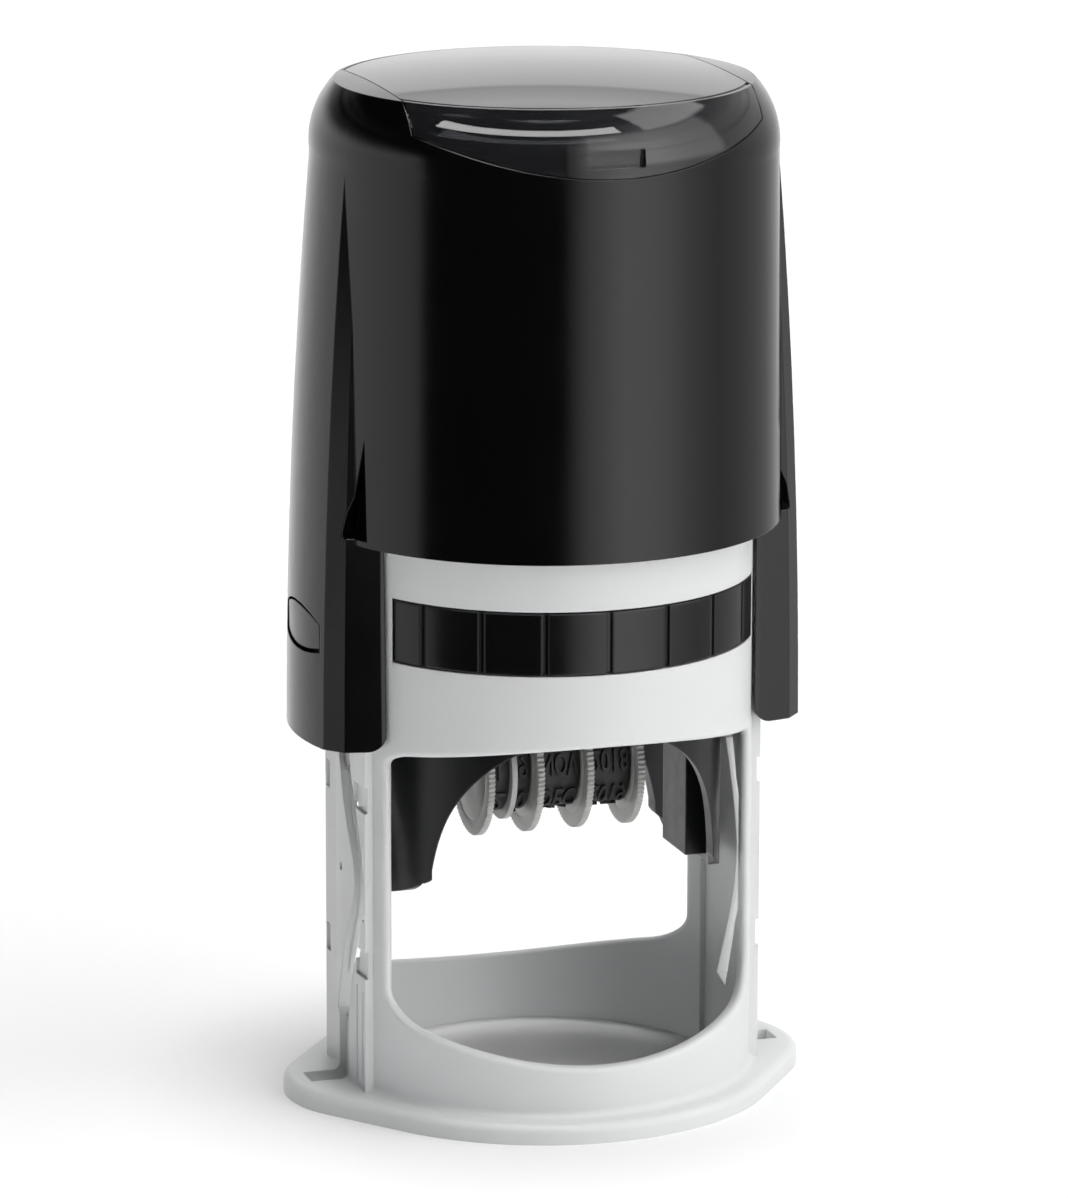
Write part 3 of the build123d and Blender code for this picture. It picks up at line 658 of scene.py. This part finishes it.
low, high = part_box("return_spring")
wireHalf = springSizes["wire"] / 2
spring = runTree(springTree(), "returnSpring", {
    "Coil Radius": (high.x - low.x) / 2 - wireHalf - springSizes["clearance"],
    "Wire": springSizes["wire"] * springSizes["drawn"], "Turns": springSizes["turns"],
    "Points": springSizes["pointsPerTurn"], "Bottom": low.z + wireHalf,
    "Top": high.z - wireHalf - springSizes["clearance"], "Material": springSteel})
smoothByAngle(spring, 50)
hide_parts("return_spring")
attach(spring, "frame")
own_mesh(spring)
print("return spring made")


# ink pad: pressed felt, softly crowned, rounded at its edge

padShape = {"crown": 0.35 * mm, "edgeRound": 0.9 * mm, "backRound": 0.2 * mm, "rings": 18, "edgeSteps": 6,
            "segments": 128}


def inkPad():
    low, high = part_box("ink_pad")
    s = padShape
    radius, halfX = (high.y - low.y) / 2, (high.x - low.x) / 2
    outline = [(0.0, low.z)]
    for i in range(1, s["rings"] + 1):          # stamping face, looking down
        share = i / s["rings"]
        outline.append(((radius - s["edgeRound"]) * share, low.z + s["crown"] * share ** 2))
    for i in range(1, s["edgeSteps"] + 1):      # rounded lower edge
        angle = pi / 2 * i / s["edgeSteps"]
        outline.append((radius - s["edgeRound"] * (1 - sin(angle)),
                        low.z + s["crown"] + s["edgeRound"] * (1 - cos(angle))))
    back = s["backRound"]
    outline += [(radius, high.z - back), (radius - back, high.z), (radius * 0.6, high.z), (0.0, high.z)]
    built = bmesh.new()
    for r, z in outline:
        built.verts.new((r, 0, z))
    built.verts.ensure_lookup_table()
    for i in range(len(outline) - 1):
        built.edges.new((built.verts[i], built.verts[i + 1]))
    bmesh.ops.spin(built, geom=built.verts[:] + built.edges[:], cent=(0, 0, 0), axis=(0, 0, 1), angle=tau,
                   steps=s["segments"], use_merge=True)
    bmesh.ops.remove_doubles(built, verts=built.verts[:], dist=0.001 * mm)
    bmesh.ops.recalc_face_normals(built, faces=built.faces[:])
    for v in built.verts:                       # cut straight at the two sides
        v.co.x = max(-halfX, min(halfX, v.co.x))
    mesh = bpy.data.meshes.new("inkPad")
    built.to_mesh(mesh)
    built.free()
    pad = bpy.data.objects.new("inkPad", mesh)
    scene.collection.objects.link(pad)
    return pad


pad = paint(inkPad(), padFelt)
smoothByAngle(pad, 40)
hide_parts("ink_pad")
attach(pad, "cartridge")
print("ink pad made")


# studio: pale floor, bright surroundings with soft panels, a lamp overhead and a curved light strip

studio = {
    "floorSize": 12.0,
    "floorColour": "#fafafa",
    # round the object, degrees from the front towards the right: how bright the surroundings are
    "around": ((-180, 1.0), (-150, 0.75), (-95, 0.7), (-81, 0.6), (-77, 0.015), (-8, 0.015), (2, 0.75),
               (22, 1.55), (40, 1.35), (58, 0.75), (75, 0.42), (118, 0.5), (150, 0.9), (180, 1.0)),
    # up and down, sine of the height angle: how much of that brightness is left
    "upward": ((-1.0, 0.85), (-0.05, 0.85), (0.05, 1.0), (0.272, 0.98), (0.28, 0.64), (0.29, 0.72),
               (0.32, 0.88), (0.345, 1.08), (0.375, 0.92), (0.43, 1.0), (0.5, 0.68), (0.6, 0.42), (0.7, 0.17),
               (0.82, 0.05), (1.0, 0.05)),
    "wallLevel": 1.18,
    # soft panels: direction, half width, elevation, half height, edge, all in degrees, and brightness;
    # the last one is a black flag that takes light away
    "panels": ((70, 26, 50, 9, 4, 2.5), (42, 35, 20, 15, 6, 0.9), (-130, 50, 32, 20, 10, -0.8)),
    # curved light strip that only shows as a reflection: from, to, low, high in degrees, distance, brightness
    "strip": (-86, 27, 42.5, 50.5, 3.0, 7.0),
    "overhead": 15.8,          # brightness of the lamp straight above, and its half angle and soft edge
    "overheadAngle": 12.0,
    "overheadEdge": 2.0,
    "toothSize": 0.8 * mm,     # paper tooth of the floor card
    "toothHeight": 0.005 * mm,
}


def makeWorld():
    world = bpy.data.worlds.new("studioWorld")
    scene.world = world
    world.use_nodes = True
    tree = world.node_tree
    tree.nodes.clear()
    s = studio
    direction = addNode(tree, "ShaderNodeTexCoord").outputs["Generated"]
    way = addNode(tree, "ShaderNodeSeparateXYZ", {0: direction}).outputs
    front = addNode(tree, "ShaderNodeMath", {0: way["Y"], 1: -1.0}, operation="MULTIPLY").outputs[0]
    angle = addNode(tree, "ShaderNodeMath", {0: way["X"], 1: front}, operation="ARCTAN2").outputs[0]
    share = addNode(tree, "ShaderNodeMapRange", {"Value": angle, "From Min": -pi, "From Max": pi}).outputs[0]
    climb = addNode(tree, "ShaderNodeMapRange", {"Value": way["Z"], "From Min": -1.0,
                                                 "From Max": 1.0}).outputs[0]
    walls = s["wallLevel"]
    for source, stops, start, span in ((share, s["around"], -180, 360), (climb, s["upward"], -1, 2)):
        brightest = max(level for place, level in stops)
        ramp = addNode(tree, "ShaderNodeValToRGB", {0: source})
        marks = ramp.color_ramp.elements
        for place, level in stops[1:-1]:
            marks.new((place - start) / span)
        for mark, (place, level) in zip(marks, stops):
            mark.position = (place - start) / span
            mark.color = (*[level / brightest] * 3, 1.0)
        scaled = addNode(tree, "ShaderNodeMath", {0: ramp.outputs[0], 1: brightest},
                         operation="MULTIPLY").outputs[0]
        walls = addNode(tree, "ShaderNodeMath", {0: scaled, 1: walls}, operation="MULTIPLY").outputs[0]
    outer, inner = [cos(radians(s["overheadAngle"] + side * s["overheadEdge"])) for side in (1, -1)]
    lamp = addNode(tree, "ShaderNodeMapRange", {"Value": way["Z"], "From Min": outer, "From Max": inner,
                                                "To Min": 0.0, "To Max": s["overhead"]},
                   interpolation_type="SMOOTHSTEP").outputs[0]
    total = addNode(tree, "ShaderNodeMath", {0: walls, 1: lamp}).outputs[0]
    height = addNode(tree, "ShaderNodeMath", {0: way["Z"]}, operation="ARCSINE").outputs[0]
    for middle, halfWidth, tilt, halfHeight, softness, brightness in s["panels"]:
        inside = brightness
        for source, centre, reach in ((angle, middle, halfWidth), (height, tilt, halfHeight)):
            off = addNode(tree, "ShaderNodeMath", {0: source, 1: radians(centre)},
                          operation="SUBTRACT").outputs[0]
            away = addNode(tree, "ShaderNodeMath", {0: off}, operation="ABSOLUTE").outputs[0]
            inside = addNode(tree, "ShaderNodeMapRange", {
                "Value": away, "From Min": radians(reach + softness), "From Max": radians(reach),
                "To Min": 0.0, "To Max": inside}, interpolation_type="SMOOTHSTEP").outputs[0]
        total = addNode(tree, "ShaderNodeMath", {0: total, 1: inside}).outputs[0]
    total = addNode(tree, "ShaderNodeMath", {0: total, 1: 0.0}, operation="MAXIMUM").outputs[0]
    light = addNode(tree, "ShaderNodeBackground", {"Color": (1, 1, 1, 1), "Strength": total}).outputs[0]
    addNode(tree, "ShaderNodeOutputWorld", {"Surface": light})


def makeFloor():
    half = studio["floorSize"] / 2
    built = bmesh.new()
    bmesh.ops.create_grid(built, x_segments=40, y_segments=40, size=half)
    mesh = bpy.data.meshes.new("studioFloor")
    built.to_mesh(mesh)
    built.free()
    floorPiece = bpy.data.objects.new("studioFloor", mesh)
    scene.collection.objects.link(floorPiece)
    # white card: matt, with a trace of paper tooth
    material, tree = newMaterial("whiteCard")
    place = addNode(tree, "ShaderNodeTexCoord").outputs["Object"]
    tooth = addNode(tree, "ShaderNodeTexNoise", {"Vector": place, "Scale": 1 / studio["toothSize"],
                                                 "Detail": 2.0}).outputs[0]
    relief = addNode(tree, "ShaderNodeBump", {"Distance": studio["toothHeight"], "Height": tooth}).outputs[0]
    skin = addNode(tree, "ShaderNodeBsdfPrincipled", {
        "Base Color": linear(studio["floorColour"]), "Roughness": 0.85, "Specular IOR Level": 0.1,
        "Normal": relief})
    addNode(tree, "ShaderNodeOutputMaterial", {"Surface": skin.outputs[0]})
    paint(floorPiece, material)
    floorPiece.visible_glossy = False        # the soft boxes reach below table height


def makeStrip():
    start, end, low, high, distance, brightness = studio["strip"]
    steps = 48
    points = []
    for i in range(steps + 1):
        around = radians(start + (end - start) * i / steps)
        for tilt in (radians(low), radians(high)):
            points.append((sin(around) * cos(tilt) * distance, -cos(around) * cos(tilt) * distance,
                           sin(tilt) * distance))
    mesh = bpy.data.meshes.new("lightStrip")
    mesh.from_pydata(points, [], [(2 * i, 2 * i + 2, 2 * i + 3, 2 * i + 1) for i in range(steps)])
    strip = bpy.data.objects.new("lightStrip", mesh)
    scene.collection.objects.link(strip)
    material, tree = newMaterial("litDiffuser")
    glow = addNode(tree, "ShaderNodeEmission", {"Strength": brightness})
    addNode(tree, "ShaderNodeOutputMaterial", {"Surface": glow.outputs[0]})
    paint(strip, material)
    strip.visible_camera = strip.visible_diffuse = strip.visible_shadow = False


makeWorld()
makeFloor()
makeStrip()
scene.view_settings.view_transform = "Standard"

# angles in degrees, distance and height in metres, lens and sensor in mm
cameraSetup = {"azimuth": -18.0, "distance": 0.834, "height": 0.262, "pitch": 13.29, "roll": 0.15,
               "lens": 196.5, "sensor": 36.0, "shiftX": -9.1 / 1198}
c = cameraSetup
lens = bpy.data.cameras.new("camera")
lens.lens, lens.sensor_width, lens.shift_x = c["lens"], c["sensor"], c["shiftX"]
lens.clip_start, lens.clip_end = 0.01, 50.0
camera = bpy.data.objects.new("camera", lens)
scene.collection.objects.link(camera)
turn = radians(c["azimuth"])
camera.location = (sin(turn) * c["distance"], -cos(turn) * c["distance"], c["height"])
aim = Euler((pi / 2 - radians(c["pitch"]), 0.0, turn)).to_matrix()
camera.rotation_euler = (aim @ Matrix.Rotation(radians(c["roll"]), 3, "Z")).to_euler()
scene.camera = camera
print("studio and camera set")

bpy.context.view_layer.update()
